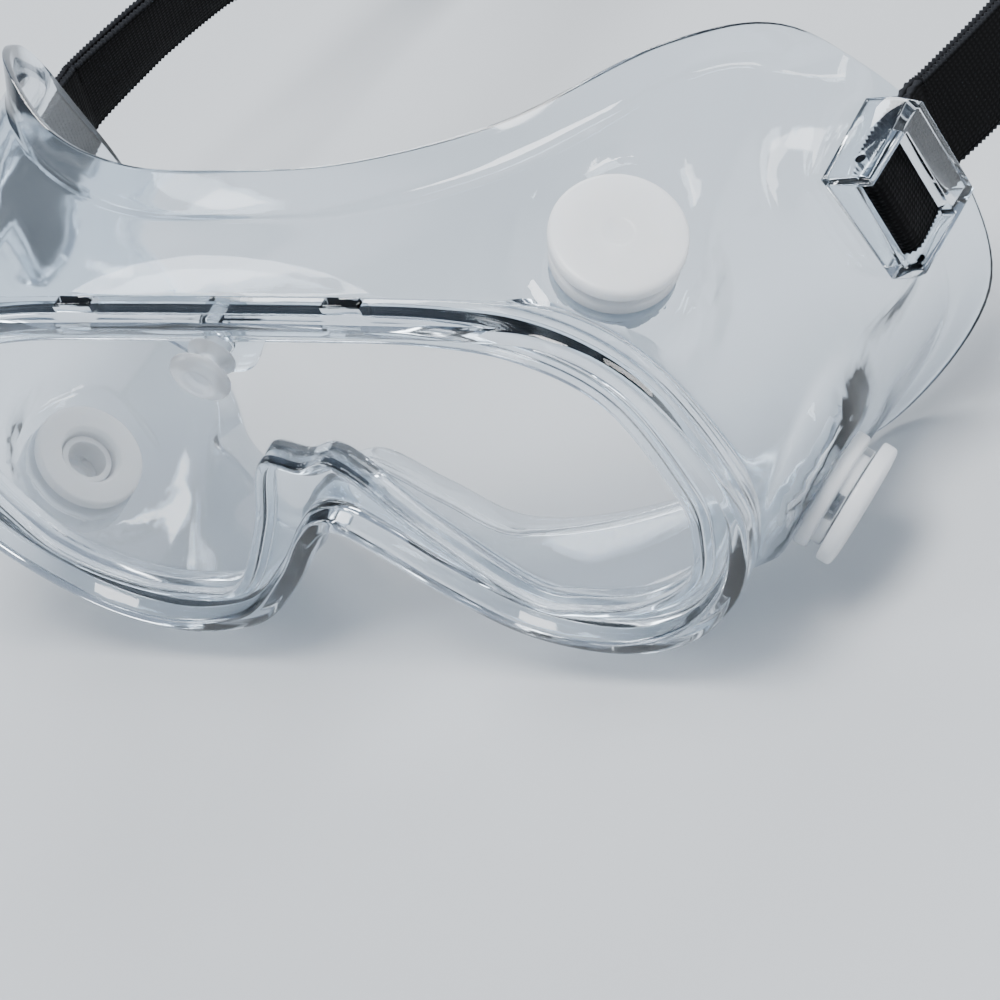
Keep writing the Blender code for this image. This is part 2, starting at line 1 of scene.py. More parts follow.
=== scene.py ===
"""Clear splash goggles on a pale floor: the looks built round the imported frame.

Shapes are worked out in millimetres, in the frame's own axes, and turned into metres by MM when a mesh is
made. +X is the wearer's left, -Y is where the wearer looks, +Z is up.
"""

import math

import bmesh
import bpy
from mathutils import Matrix, Vector


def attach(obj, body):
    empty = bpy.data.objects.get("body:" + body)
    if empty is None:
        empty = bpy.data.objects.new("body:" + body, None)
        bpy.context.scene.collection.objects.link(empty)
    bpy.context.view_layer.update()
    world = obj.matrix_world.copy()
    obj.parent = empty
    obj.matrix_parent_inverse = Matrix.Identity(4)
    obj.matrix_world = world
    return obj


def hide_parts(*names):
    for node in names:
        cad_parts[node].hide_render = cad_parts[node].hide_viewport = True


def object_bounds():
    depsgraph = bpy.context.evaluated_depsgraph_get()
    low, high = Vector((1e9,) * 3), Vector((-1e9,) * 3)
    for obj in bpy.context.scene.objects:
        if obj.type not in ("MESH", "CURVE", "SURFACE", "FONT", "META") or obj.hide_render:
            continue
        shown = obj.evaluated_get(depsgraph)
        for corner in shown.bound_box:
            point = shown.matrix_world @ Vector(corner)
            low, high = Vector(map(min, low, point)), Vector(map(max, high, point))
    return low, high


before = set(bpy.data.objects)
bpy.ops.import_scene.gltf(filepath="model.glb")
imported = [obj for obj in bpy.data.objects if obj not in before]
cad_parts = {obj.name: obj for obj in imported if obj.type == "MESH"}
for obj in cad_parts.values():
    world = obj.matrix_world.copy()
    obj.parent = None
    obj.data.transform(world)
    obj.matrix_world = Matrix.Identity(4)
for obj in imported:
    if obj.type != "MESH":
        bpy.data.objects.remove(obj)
cad_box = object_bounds()

MM = 0.001

# The rim, lens and skirt, mm
FRONT_Y = -17.0
SAMPLES = 9
FILLET_STEPS = 3
SKIRT_STEPS = 16
WALL = 1.9
FLARE_IN = 4.0
FLARE_DEPTH = 5.0
SKIRT_BULGE = 1.6
GAP = 0.3
LENS_GROOVE = 2.8
LENS_FRONT = 1.8
LENS_THICK = 1.8
LENS_BACK = LENS_FRONT + LENS_THICK + GAP
RIM_BACK = LENS_BACK + 2.0

VENT_R = 9.8
VENT_FLANGE_R = 9.3
VENT_INNER_R = 9.0
VENT_COLLAR_R = 7.9
VENT_NECK_R = 6.0
VENT_BORE_R = 4.6
VENT_STEM_R = 4.2
VENT_STEM_BORE_R = 3.2
VENT_COLLAR_TOP = 4.1
VENT_TOP = 7.1
VENT_PAD_R = 10.2
VENT_FLAT_R = 11.6
VENT_FADE_R = 16.5
VENT_STEPS = 96
VENTS = {
    "upper": (Vector((61.4, -1.4, 31.2)), Vector((0.53, -0.08, 0.84)).normalized()),
    "lower": (Vector((68.4, 6.2, -24.2)), Vector((0.77, -0.11, -0.63)).normalized()),
}

TAB_X = 24.0
TAB_WIDTH = 6.2
TAB_TOP = 36.15
TAB_FOOT = 31.0
TAB_EDGE = 0.35
STUD_Z = 29.4
STUD_STEM_R = 2.0
STUD_DISC_R = 4.8
STUD_RING_R = 3.8
STUD_TIP = 7.4
TONGUE_R = 7.0
TONGUE_HALF = 10.0
TONGUE_CENTRE = 30.6
TONGUE_TOP = 31.6
TONGUE_DEPTH = 0.8
TONGUE_THICK = 1.1

# The strap clip: its own axes are outwards, back and up
CLIP_LENGTH = 16.4
CLIP_HEIGHT = 20.8
CLIP_WALL = 2.0
CLIP_FACE = 4.9
CLIP_FRONT_RISE = 7.3
CLIP_REAR_RISE = 8.9
CLIP_FRONT_WALL = 1.5
CLIP_FRONT_TOP = 4.2
CLIP_BAR = 5.6
CLIP_BAR_LOW = 5.8
CLIP_EDGE = 0.32
CLIP_CENTRE = Vector((77.3, 36.7, 5.5))
CLIP_OUT = Vector((0.996, -0.023, 0.077)).normalized()
PAD_NORMAL = Vector((0.985, -0.06, 0.16)).normalized()
CLIP_PAD = 13.5
CLIP_FADE = 21.0

# The band: round the clip's rod, with its end folded back under it as far as the keeper
STRAP_WIDTH = 15.6
STRAP_THICK = 1.0
STRAP_LOW = 0.6
ROD_R = 0.8
ROD_ALONG = -3.3
ROD_HEIGHT = 3.3
LOOP_R = ROD_R + GAP + STRAP_THICK / 2
LAYER = STRAP_THICK + GAP
# The band's middle line behind each clip, as x, y, z and its lean in degrees, the right side mirrored
BAND_LEFT = ((81.7, 51.3, 4.6, 7), (84.2, 56.7, 4.6, 8), (88.5, 67.1, 4.6, 8), (92.6, 83, 3.5, 6))
BAND_RIGHT = ((82.3, 57.7, 4.6, 13), (82.1, 62.7, 4.6, 18), (76.4, 77.0, 4.6, 24), (71.0, 91.4, 3.4, 20))
RUN_START = {"left": Vector((93.2, 99, 0.5)), "right": Vector((67.4, 104, 0.0))}
RUN_WAY = Vector((-0.20, 0.93, -0.30)).normalized()
RUN_POINTS = (0, 10, 44, 54)
RUN_LEAN = 4
TURN = {
    "left": (Vector((71.5, 170, -22.2)), Vector((44, 185.5, -28))),
    "right": (Vector((47.5, 168.5, -20.8)), Vector((26, 184.5, -27))),
}
STRAP_BACK = Vector((8, 190, -30.5))
BAND_STEPS = 12
PICOT = 0.8  # pitch of the loops along the band's edges
PICOT_DEPTH = 0.3
KEEPER_AT = 27.0
KEEPER_LENGTH = 9.0
KEEPER_WALL = 1.5
KEEPER_EDGE = 1.0

RIM = (
    (0, 36.0), (24, 35.8), (44, 35.2), (59, 33.0), (69.3, 22.5), (74.3, 1), (71.5, -11.5),
    (64.5, -22.5), (53, -32), (39.4, -35.6), (24.6, -32.5), (13, -23), (5, -14), (0, -10.3),
)
OPENING = (
    (0, 30.1), (19.7, 30.1), (36, 29.6), (50, 26.4), (60.2, 17.3), (63.4, -1), (62, -10),
    (57.2, -19.4), (46.5, -25.8), (35, -27.4), (26.3, -25.2), (15.2, -10.5), (7.0, 3.4), (0, 2.8),
)
FACE = (
    (0, 20, 45), (20.5, 22, 44.4), (41, 31.5, 42.6), (59.3, 47.5, 41.2), (70.2, 60.5, 32.0),
    (75.8, 68.5, 11.8), (78.6, 72, -9.3), (76.5, 68, -31), (63, 53, -42), (50, 40, -39.8),
    (30, 26.5, -36), (16, 20, -30.5), (8, 17, -19), (0, 16.5, -11.8),
)
PADS = [(place, normal, VENT_FLAT_R, VENT_FADE_R) for place, normal in VENTS.values()]
PADS.append((CLIP_CENTRE, PAD_NORMAL, CLIP_PAD, CLIP_FADE))


# Helpers


def new_object(name, data, look=None):
    obj = bpy.data.objects.new(name, data)
    bpy.context.scene.collection.objects.link(obj)
    if look:
        wear(obj, look)
    return obj


def wear(obj, look):
    """Gives the whole of obj one material."""
    obj.data.materials.clear()
    obj.data.materials.append(look)


def mesh_from(bm, name, angle=35, scale=MM):
    bmesh.ops.scale(bm, vec=(scale,) * 3, verts=bm.verts)
    bmesh.ops.recalc_face_normals(bm, faces=bm.faces)
    data = bpy.data.meshes.new(name)
    bm.to_mesh(data)
    bm.free()
    data.shade_smooth()
    data.set_sharp_from_angle(angle=math.radians(angle))
    return data


def boolean(obj, others, operation):
    """Cuts the other objects from obj or joins them to it, and removes them. The result is baked in."""
    holder = bpy.data.collections.new("operands")
    bpy.context.scene.collection.children.link(holder)
    for other in others:
        for home in list(other.users_collection):
            home.objects.unlink(other)
        holder.objects.link(other)
    modifier = obj.modifiers.new(operation, "BOOLEAN")
    modifier.operation = operation
    modifier.operand_type = "COLLECTION"
    modifier.collection = holder
    modifier.solver = "EXACT"
    bake(obj)
    for other in others:
        bpy.data.objects.remove(other, do_unlink=True)
    bpy.data.collections.remove(holder)


def bake(obj):
    """Applies every modifier of obj to its mesh."""
    bpy.context.view_layer.update()
    graph = bpy.context.evaluated_depsgraph_get()
    data = bpy.data.meshes.new_from_object(obj.evaluated_get(graph))
    obj.modifiers.clear()
    obj.data = data
    return obj


def round_edges(obj, width, segments, angle=30):
    """Rounds every edge of obj that is sharper than angle, in degrees."""
    bevel = obj.modifiers.new("Round edges", "BEVEL")
    bevel.width = width * MM
    bevel.segments = segments
    bevel.limit_method = "ANGLE"
    bevel.angle_limit = math.radians(angle)
    bake(obj)


def tidy_mesh(obj, angle=35):
    """Joins the doubled points that a Boolean leaves, and shades smooth up to angle, in degrees."""
    bm = bmesh.new()
    bm.from_mesh(obj.data)
    bmesh.ops.remove_doubles(bm, verts=bm.verts, dist=1e-6)
    bm.to_mesh(obj.data)
    bm.free()
    obj.data.shade_smooth()
    obj.data.set_sharp_from_angle(angle=math.radians(angle))


def box(name, size, centre=(0, 0, 0), home=None):
    """A box object in millimetres. home places it, in metres."""
    bm = bmesh.new()
    bmesh.ops.create_cube(bm, size=1.0)
    bmesh.ops.scale(bm, vec=size, verts=bm.verts)
    bmesh.ops.translate(bm, vec=centre, verts=bm.verts)
    obj = new_object(name, mesh_from(bm, name))
    if home:
        obj.matrix_world = home
    return obj


def metric(home):
    """A millimetre frame with its place in metres, and its turn kept free of mirroring."""
    turn = home.to_3x3()
    if turn.determinant() < 0:
        turn = turn @ Matrix.Diagonal((1, 1, -1))
    return Matrix.Translation(home.translation * MM) @ turn.to_4x4()


def axis_home(place, normal, side=1):
    """Local +Z on the axis at place, in metres, or on its mirror image for side -1."""
    normal = Vector((normal.x * side, normal.y, normal.z))
    place = Vector((place.x * side, place.y, place.z)) * MM
    return Matrix.Translation(place) @ normal.to_track_quat("Z", "Y").to_matrix().to_4x4()


def smoothstep(low, high, value):
    t = min(max((value - low) / (high - low), 0), 1)
    return t * t * (3 - 2 * t)


def rounded_profile(points, radius, steps=4, closed=False):
    """A 2D profile with each inner corner rounded. radius is one number, or one for each point."""
    count = len(points)
    radii = radius if isinstance(radius, (list, tuple)) else [radius] * count
    out = []
    for i, point in enumerate(points):
        here = Vector(point)
        if not closed and i in (0, count - 1) or radii[i] == 0:
            out.append(here)
            continue
        before, after = Vector(points[i - 1]), Vector(points[(i + 1) % count])
        back, on = before - here, after - here
        start = here + back.normalized() * min(radii[i], back.length * 0.48)
        end = here + on.normalized() * min(radii[i], on.length * 0.48)
        for k in range(steps + 1):
            t = k / steps
            out.append((1 - t) ** 2 * start + 2 * t * (1 - t) * here + t * t * end)
    return out


def revolve(name, profile, steps, closed):
    """A mesh object of the profile of (radius, height) turned about local Z."""
    bm = bmesh.new()
    rings = []
    for r, z in profile:
        if r < 1e-6:
            rings.append([bm.verts.new((0, 0, z))])
            continue
        rings.append([
            bm.verts.new((r * math.cos(2 * math.pi * k / steps), r * math.sin(2 * math.pi * k / steps), z))
            for k in range(steps)
        ])
    pairs = list(zip(rings, rings[1:]))
    if closed:
        pairs.append((rings[-1], rings[0]))
    for one, two in pairs:
        for k in range(steps):
            j = (k + 1) % steps
            corners = [one[k % len(one)], one[j % len(one)], two[j % len(two)], two[k % len(two)]]
            bm.faces.new(list(dict.fromkeys(corners)))
    return new_object(name, mesh_from(bm, name, 40))


# Materials


def node_material(name):
    look = bpy.data.materials.new(name)
    look.use_nodes = True
    tree = look.node_tree
    shader = tree.nodes["Principled BSDF"]
    return look, tree, shader


def add(tree, kind, **values):
    node = tree.nodes.new(kind)
    for key, value in values.items():
        if key in node.inputs:
            node.inputs[key].default_value = value
        else:
            setattr(node, key.lower(), value)
    return node


def clear_plastic(name, colour, roughness, ripple, bloom=0.0):
    """Clear moulded plastic: tinted glass, a faint ripple, patches of softer polish and a blue bloom."""
    look, tree, shader = node_material(name)
    shader.inputs["Base Color"].default_value = colour
    shader.inputs["Transmission Weight"].default_value = 1.0
    shader.inputs["IOR"].default_value = 1.5
    shader.inputs["Sheen Weight"].default_value = bloom
    shader.inputs["Sheen Roughness"].default_value = 0.25
    shader.inputs["Sheen Tint"].default_value = (0.70, 0.82, 1.0, 1)
    place = add(tree, "ShaderNodeTexCoord")
    waves = add(tree, "ShaderNodeTexNoise", Scale=45.0, Detail=2.0)
    patches = add(tree, "ShaderNodeTexNoise", Scale=130.0, Detail=3.0)
    spread = add(tree, "ShaderNodeMapRange")
    spread.inputs["From Min"].default_value = 0.35
    spread.inputs["From Max"].default_value = 0.75
    spread.inputs["To Min"].default_value = roughness * 0.6
    spread.inputs["To Max"].default_value = roughness * 1.5
    bump = add(tree, "ShaderNodeBump", Strength=ripple, Distance=0.001)
    link = tree.links.new
    link(place.outputs["Object"], waves.inputs["Vector"])
    link(place.outputs["Object"], patches.inputs["Vector"])
    link(patches.outputs["Fac"], spread.inputs["Value"])
    link(spread.outputs["Result"], shader.inputs["Roughness"])
    link(waves.outputs["Fac"], bump.inputs["Height"])
    link(bump.outputs["Normal"], shader.inputs["Normal"])
    return look


def milky_plastic(name, clearness):
    """Soft translucent polyethylene with a faint moulded mottle."""
    look, tree, shader = node_material(name)
    shader.inputs["Subsurface Weight"].default_value = 0.7
    shader.inputs["Subsurface Radius"].default_value = (1.0, 1.05, 1.15)
    shader.inputs["Subsurface Scale"].default_value = 0.004
    shader.inputs["Transmission Weight"].default_value = clearness
    shader.inputs["IOR"].default_value = 1.5
    place = add(tree, "ShaderNodeTexCoord")
    mottle = add(tree, "ShaderNodeTexNoise", Scale=220.0, Detail=4.0)
    tint = add(tree, "ShaderNodeValToRGB")
    tint.color_ramp.elements[0].color = (0.86, 0.91, 0.97, 1)
    tint.color_ramp.elements[1].color = (0.94, 0.97, 1.0, 1)
    spread = add(tree, "ShaderNodeMapRange")
    spread.inputs["To Min"].default_value = 0.28
    spread.inputs["To Max"].default_value = 0.46
    bump = add(tree, "ShaderNodeBump", Strength=0.06, Distance=0.0004)
    link = tree.links.new
    link(place.outputs["Object"], mottle.inputs["Vector"])
    link(mottle.outputs["Fac"], tint.inputs["Fac"])
    link(tint.outputs["Color"], shader.inputs["Base Color"])
    link(mottle.outputs["Fac"], spread.inputs["Value"])
    link(spread.outputs["Result"], shader.inputs["Roughness"])
    link(mottle.outputs["Fac"], bump.inputs["Height"])
    link(bump.outputs["Normal"], shader.inputs["Normal"])
    return look


def woven_elastic(name):
    """Black elastic webbing in the band's own UVs, mm: fine cross ribs, warp lines and a painted highlight
    that makes the edge loops paler.
    """
    look, tree, shader = node_material(name)
    shader.inputs["Sheen Weight"].default_value = 0.02
    shader.inputs["Sheen Roughness"].default_value = 0.5
    shader.inputs["Roughness"].default_value = 0.9
    shader.inputs["Specular IOR Level"].default_value = 0.12
    place = add(tree, "ShaderNodeUVMap")
    ribs = add(tree, "ShaderNodeTexWave", Scale=0.314 / PICOT, Distortion=0.5, Detail=1.0)
    ribs.inputs["Detail Scale"].default_value = 2.0
    warps = add(tree, "ShaderNodeTexWave", Scale=0.45, Distortion=0.3, Detail=1.0)
    warps.bands_direction = "Y"
    fuzz = add(tree, "ShaderNodeTexNoise", Scale=3.0, Detail=3.0)
    weave = add(tree, "ShaderNodeMath", operation="MULTIPLY")
    shade = add(tree, "ShaderNodeValToRGB")
    shade.color_ramp.elements[0].color = (0.0006, 0.0006, 0.0007, 1)
    shade.color_ramp.elements[1].color = (0.0045, 0.0045, 0.005, 1)
    parts = add(tree, "ShaderNodeSeparateXYZ")
    across = add(tree, "ShaderNodeMath", operation="ABSOLUTE")
    # Painted highlight: this mask and the mix below make the base colour paler near each edge of the band
    edge = add(tree, "ShaderNodeMapRange")
    edge.inputs["From Min"].default_value = STRAP_WIDTH / 2 - 0.75
    edge.inputs["From Max"].default_value = STRAP_WIDTH / 2 - 0.35
    # the paler colour of the painted highlight along the band's edges
    painted_edge_highlight = add(tree, "ShaderNodeMix", data_type="RGBA")
    painted_edge_highlight.inputs["B"].default_value = (0.016, 0.017, 0.020, 1)
    total = add(tree, "ShaderNodeMath", operation="ADD")
    bump = add(tree, "ShaderNodeBump", Strength=0.6, Distance=0.0002)
    link = tree.links.new
    for texture in (ribs, warps, fuzz, parts):
        link(place.outputs["UV"], texture.inputs["Vector"])
    link(parts.outputs["Y"], across.inputs[0])
    link(across.outputs["Value"], edge.inputs["Value"])
    link(ribs.outputs["Fac"], weave.inputs[0])
    link(warps.outputs["Fac"], weave.inputs[1])
    link(weave.outputs["Value"], total.inputs[0])
    link(fuzz.outputs["Fac"], total.inputs[1])
    link(weave.outputs["Value"], shade.inputs["Fac"])
    link(edge.outputs["Result"], painted_edge_highlight.inputs["Factor"])
    link(shade.outputs["Color"], painted_edge_highlight.inputs["A"])
    link(painted_edge_highlight.outputs["Result"], shader.inputs["Base Color"])
    link(total.outputs["Value"], bump.inputs["Height"])
    link(bump.outputs["Normal"], shader.inputs["Normal"])
    return look


def black_moulding(name):
    """Matt black moulded plastic with a fine grain."""
    look, tree, shader = node_material(name)
    shader.inputs["Base Color"].default_value = (0.004, 0.004, 0.0045, 1)
    shader.inputs["Specular IOR Level"].default_value = 0.3
    place = add(tree, "ShaderNodeTexCoord")
    grain = add(tree, "ShaderNodeTexNoise", Scale=900.0, Detail=2.0)
    spread = add(tree, "ShaderNodeMapRange")
    spread.inputs["To Min"].default_value = 0.38
    spread.inputs["To Max"].default_value = 0.6
    bump = add(tree, "ShaderNodeBump", Strength=0.25, Distance=0.0002)
    link = tree.links.new
    link(place.outputs["Object"], grain.inputs["Vector"])
    link(grain.outputs["Fac"], spread.inputs["Value"])
    link(spread.outputs["Result"], shader.inputs["Roughness"])
    link(grain.outputs["Fac"], bump.inputs["Height"])
    link(bump.outputs["Normal"], shader.inputs["Normal"])
    return look


PVC = clear_plastic("soft_clear_pvc", (0.86, 0.925, 0.985, 1), 0.06, 0.25, 0.3)
CLIP_LOOK = clear_plastic("hard_clear_clip", (0.90, 0.95, 0.99, 1), 0.04, 0.12, 0.3)
LENS_LOOK = clear_plastic("clear_lens", (0.985, 0.993, 1.0, 1), 0.015, 0.0)
MILKY = milky_plastic("milky_polyethylene", 0.25)
FROSTED = milky_plastic("frosted_polyethylene", 0.8)
ELASTIC = woven_elastic("black_woven_elastic")
BLACK = black_moulding("black_moulding")


# The soft frame


def between(a, b, c, d, t):
    """A point on the smooth curve through a, b, c and d, a share t of the way from b to c."""
    return 0.5 * (2 * b + (c - a) * t + (2 * a - 5 * b + 4 * c - d) * t**2 + (3 * b - a - 3 * c + d) * t**3)


def closed_loop(half):
    """A smooth closed loop through the half outline and its mirror image."""
    half = [Vector(point) for point in half]
    left = [Vector((-p[0], *p[1:])) for p in reversed(half[1:-1])]
    points = half + left
    count = len(points)
    loop = []
    for i in range(count):
        corners = [points[(i + k) % count] for k in (-1, 0, 1, 2)]
        loop.extend(between(*corners, step / SAMPLES) for step in range(SAMPLES))
    return loop


def inset(loop, distance):
    """Each point of a loop of (x, y, z), moved towards the loop's inside by distance."""
    moved = []
    for i, point in enumerate(loop):
        along = loop[(i + 1) % len(loop)] - loop[i - 1]
        inward = Vector((along.z, 0, -along.x)).normalized()
        moved.append(point + inward * distance)
    return moved


def at_depth(loop, depth):
    return [Vector((p.x, FRONT_Y + depth, p.z)) for p in loop]


def flat_loop(half):
    return closed_loop([(x, 0, z) for x, z in half])


def settle(point, sunk):
    """Flattens the skirt under each vent and clip. sunk is 0 on the outer skin, WALL on the inner."""
    side = 1 if point.x >= 0 else -1
    p = Vector((point.x * side, point.y, point.z))
    for centre, normal, near, far in PADS:
        height = (p - centre).dot(normal)
        reach = (p - centre - height * normal).length
        if abs(height) < 12:
            p -= normal * (height + sunk) * (1 - smoothstep(near, far, reach))
    return Vector((p.x * side, p.y, p.z))


def skirt_rings(start, crease, sunk):
    """The bulging skirt between the rim's back and the crease of the flare, on one skin."""
    rings = []
    for step in range(1, SKIRT_STEPS + 1):
        t = step / (SKIRT_STEPS + 1)
        ring = [a.lerp(b, t) for a, b in zip(start, crease)]
        ring = inset(ring, -SKIRT_BULGE * math.sin(math.pi * t) + sunk)
        rings.append([settle(p, sunk) for p in ring])
    return rings


def frame_section():
    """The corners of the frame's section as (ring, fillet radius), in order round the section."""
    rim = flat_loop(RIM)
    opening = flat_loop(OPENING)
    face = [p + Vector((0, FRONT_Y, 0)) for p in closed_loop(FACE)]
    rings = []

    def front(loop, steps):
        rings.extend((at_depth(inset(loop, -d), y), radius) for d, y, radius in steps)

    front(opening, ((0, 0.0, 0.35), (1.4, 0.0, 0.3), (1.7, 0.8, 0.3)))
    front(rim, ((-3.7, 0.8, 0.3), (-3.1, -1.6, 0.7), (-0.2, -1.6, 1.0), (0, -0.4, 0.6)))
    front(rim, ((0, 3.8, 0.5), (-1.2, 4.3, 0.6)))
    start = at_depth(inset(rim, 1.2), 4.3)
    crease = [p - Vector((0, FLARE_DEPTH, 0)) for p in inset(face, FLARE_IN)]
    rings.extend((ring, 0) for ring in skirt_rings(start, crease, 0))
    rings.append(([settle(p, 0) for p in crease], 1.6))
    rings.append(([settle(p, 0) for p in face], 0.5))
    lip = [p + Vector((0, 0.9, 0)) for p in inset(face, 1.3)]
    rings.append(([settle(p, WALL) for p in lip], 0.5))
    rings.append(([settle(p, WALL) for p in inset(crease, WALL)], 1.6))
    rings.extend((ring, 0) for ring in reversed(skirt_rings(start, crease, WALL)))
    rings.append((at_depth(inset(rim, 1.2 + WALL), RIM_BACK), 0.6))
    front(
        opening,
        (
            (0.2, RIM_BACK, 0.5),
            (0.2, LENS_BACK, 0.3),
            (LENS_GROOVE, LENS_BACK, 0.2),
            (LENS_GROOVE, LENS_FRONT - GAP, 0.2),
            (0, LENS_FRONT - GAP, 0.3),
        ),
    )
    return rings


def filleted(section):
    """The rings with each corner ring opened into a rounded one."""
    out = []
    for i, (ring, radius) in enumerate(section):
        if not radius:
            out.append(ring)
            continue
        before, after = section[i - 1][0], section[(i + 1) % len(section)][0]
        corners = []
        for here, back, on in zip(ring, before, after):
            to_back, to_next = back - here, on - here
            start = here + to_back.normalized() * min(radius, to_back.length * 0.45)
            end = here + to_next.normalized() * min(radius, to_next.length * 0.45)
            corners.append((start, here, end))
        for k in range(FILLET_STEPS + 1):
            t = k / FILLET_STEPS
            out.append([(1 - t) ** 2 * a + 2 * t * (1 - t) * b + t * t * c for a, b, c in corners])
    return out


def loft(rings):
    """A closed skin over rings that follow each other round the section."""
    bm = bmesh.new()
    verts = [[bm.verts.new(p) for p in ring] for ring in rings]
    for k, ring in enumerate(verts):
        after = verts[(k + 1) % len(verts)]
        for i in range(len(ring)):
            j = (i + 1) % len(ring)
            bm.faces.new((ring[i], ring[j], after[j], after[i]))
    return bm


def plate(name, outline, depth, thick, soft=0.0):
    """A flat plate facing -Y: the filled outline of (x, z), its middle at depth behind the front plane."""
    curve = bpy.data.curves.new(name, "CURVE")
    curve.dimensions = "2D"
    curve.fill_mode = "BOTH"
    curve.extrude = (thick / 2 - soft) * MM
    curve.bevel_depth = soft * MM
    curve.bevel_resolution = 2
    curve.offset = -soft * MM
    spline = curve.splines.new("POLY")
    spline.points.add(len(outline) - 1)
    for point, (x, z) in zip(spline.points, outline):
        point.co = (x * MM, z * MM, 0, 1)
    spline.use_cyclic_u = True
    obj = new_object(name + "_curve", curve)
    bpy.context.view_layer.update()
    graph = bpy.context.evaluated_depsgraph_get()
    data = bpy.data.meshes.new_from_object(obj.evaluated_get(graph))
    bpy.data.objects.remove(obj, do_unlink=True)
    turn = Matrix.Translation((0, (FRONT_Y + depth) * MM, 0)) @ Matrix.Rotation(math.radians(90), 4, "X")
    data.transform(turn)
    made = new_object(name, data)
    tidy_mesh(made)
    return made


def tongue_outline():
    """The tongue below the rim's top, as (x, z): a round end between two straight sides."""
    turns = [math.radians(d) for d in range(-60, 61, 5)]
    arc = [(TONGUE_R * math.sin(a), TONGUE_CENTRE - TONGUE_R * math.cos(a)) for a in turns]
    return [(-TONGUE_HALF, TONGUE_TOP)] + arc + [(TONGUE_HALF, TONGUE_TOP)]


def stud_home():
    """The stud's own frame: +Z out of the front, origin on the front plane."""
    turn = Matrix.Rotation(math.radians(90), 4, "X")
    return Matrix.Translation(Vector((0, FRONT_Y, STUD_Z)) * MM) @ turn


def drum(name, radius, low, high, home, steps=64, bore=0):
    """A cylinder or a ring about local Z, for cutting and joining."""
    profile = [(bore, low), (radius, low), (radius, high), (bore, high)]
    obj = revolve(name, profile, steps, closed=bore > 0)
    obj.matrix_world = home
    return obj


def make_frame():
    data = mesh_from(loft(filleted(frame_section())), "frame")
    obj = new_object("soft_frame", data)
    clearings, pads = [], []
    for level, (place, normal) in VENTS.items():
        for side in (1, -1):
            home = axis_home(place, normal, side)
            clearings.append(drum(f"clearing_{level}_{side}", VENT_PAD_R - 0.5, -8, 8, home))
            pads.append(drum(f"pad_{level}_{side}", VENT_PAD_R, -WALL, 0, home, bore=VENT_NECK_R + GAP))
    for side in (1, -1):
        size = (TAB_WIDTH + 2 * GAP, LENS_THICK + 2 * GAP, TAB_TOP - TAB_FOOT + 2)
        centre = (side * TAB_X, FRONT_Y + LENS_FRONT + LENS_THICK / 2, TAB_FOOT + size[2] / 2)
        clearings.append(box(f"tab_slot_{side}", size, centre))
    boolean(obj, clearings, "DIFFERENCE")
    pads.append(plate("tongue", tongue_outline(), TONGUE_DEPTH, TONGUE_THICK))
    boolean(obj, pads, "UNION")
    boolean(obj, [drum("stud_hole", STUD_STEM_R + GAP, -10, 10, stud_home(), 32)], "DIFFERENCE")
    tidy_mesh(obj)
    wear(obj, PVC)
    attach(obj, "goggles")
    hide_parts("frame_skirt")


def make_lens():
    edge = inset(flat_loop(OPENING), -(LENS_GROOVE - GAP))
    obj = plate("wide_lens", [(p.x, p.z) for p in edge], LENS_FRONT + LENS_THICK / 2, LENS_THICK)
    tabs = []
    for side in (1, -1):
        size = (TAB_WIDTH, LENS_THICK, TAB_TOP - TAB_FOOT)
        centre = (side * TAB_X, FRONT_Y + LENS_FRONT + LENS_THICK / 2, (TAB_TOP + TAB_FOOT) / 2)
        tab = box(f"lens_tab_{side}", size, centre)
        round_edges(tab, TAB_EDGE, 3)
        tabs.append(tab)
    boolean(obj, tabs, "UNION")
    boolean(obj, [drum("lens_stud_hole", STUD_STEM_R + GAP, -10, 10, stud_home(), 32)], "DIFFERENCE")
    tidy_mesh(obj)
    wear(obj, LENS_LOOK)
    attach(obj, "goggles")
    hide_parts("lens")


# Vents and stud


def windowed(obj, size, height):
    """The mesh of obj with two crossed slots cut through it at a height. obj itself is removed."""
    cutters = []
    for degrees in (45, 135):
        turn = Matrix.Rotation(math.radians(degrees), 4, "Z")
        cutters.append(box(f"window_{degrees}", size, (0, 0, height), turn))
    boolean(obj, cutters, "DIFFERENCE")
    tidy_mesh(obj)
    data = obj.data
    bpy.data.objects.remove(obj, do_unlink=True)
    return data


def vent_body_mesh():
    inner, step = -WALL - GAP, 2.5
    points = [
        (VENT_BORE_R, VENT_COLLAR_TOP), (VENT_COLLAR_R, VENT_COLLAR_TOP), (VENT_COLLAR_R, step),
        (VENT_FLANGE_R, step), (VENT_FLANGE_R, GAP), (VENT_NECK_R, GAP), (VENT_NECK_R, inner),
        (VENT_INNER_R, inner), (VENT_INNER_R, inner - 2.0), (VENT_BORE_R + 0.6, inner - 2.0),
        (VENT_BORE_R, inner - 1.2),
    ]
    radii = [0.15, 0.3, 0.2, 0.6, 0.45, 0.1, 0.1, 0.45, 0.6, 0.3, 0.3]
    obj = revolve("vent_body_master", rounded_profile(points, radii, 3, True), VENT_STEPS, True)
    return windowed(obj, (30, 4.4, 1.3), 3.3)


def vent_cap_mesh():
    under, top, foot = VENT_COLLAR_TOP + GAP, VENT_TOP, -2.6
    points = [
        (0, top - 0.12), (2.0, top - 0.12), (2.4, top), (VENT_R - 2.2, top - 0.1), (VENT_R, top - 0.35),
        (VENT_R, under), (VENT_STEM_R, under), (VENT_STEM_R, foot), (VENT_STEM_BORE_R, foot),
        (VENT_STEM_BORE_R, under + 0.4), (0, under + 0.4),
    ]
    radii = [0, 0.2, 0.2, 0.8, 0.8, 0.55, 0.1, 0.2, 0.2, 0.2, 0]
    obj = revolve("vent_cap_master", rounded_profile(points, radii, 4), VENT_STEPS, False)
    return windowed(obj, (12, 4.4, 1.6), 2.6)


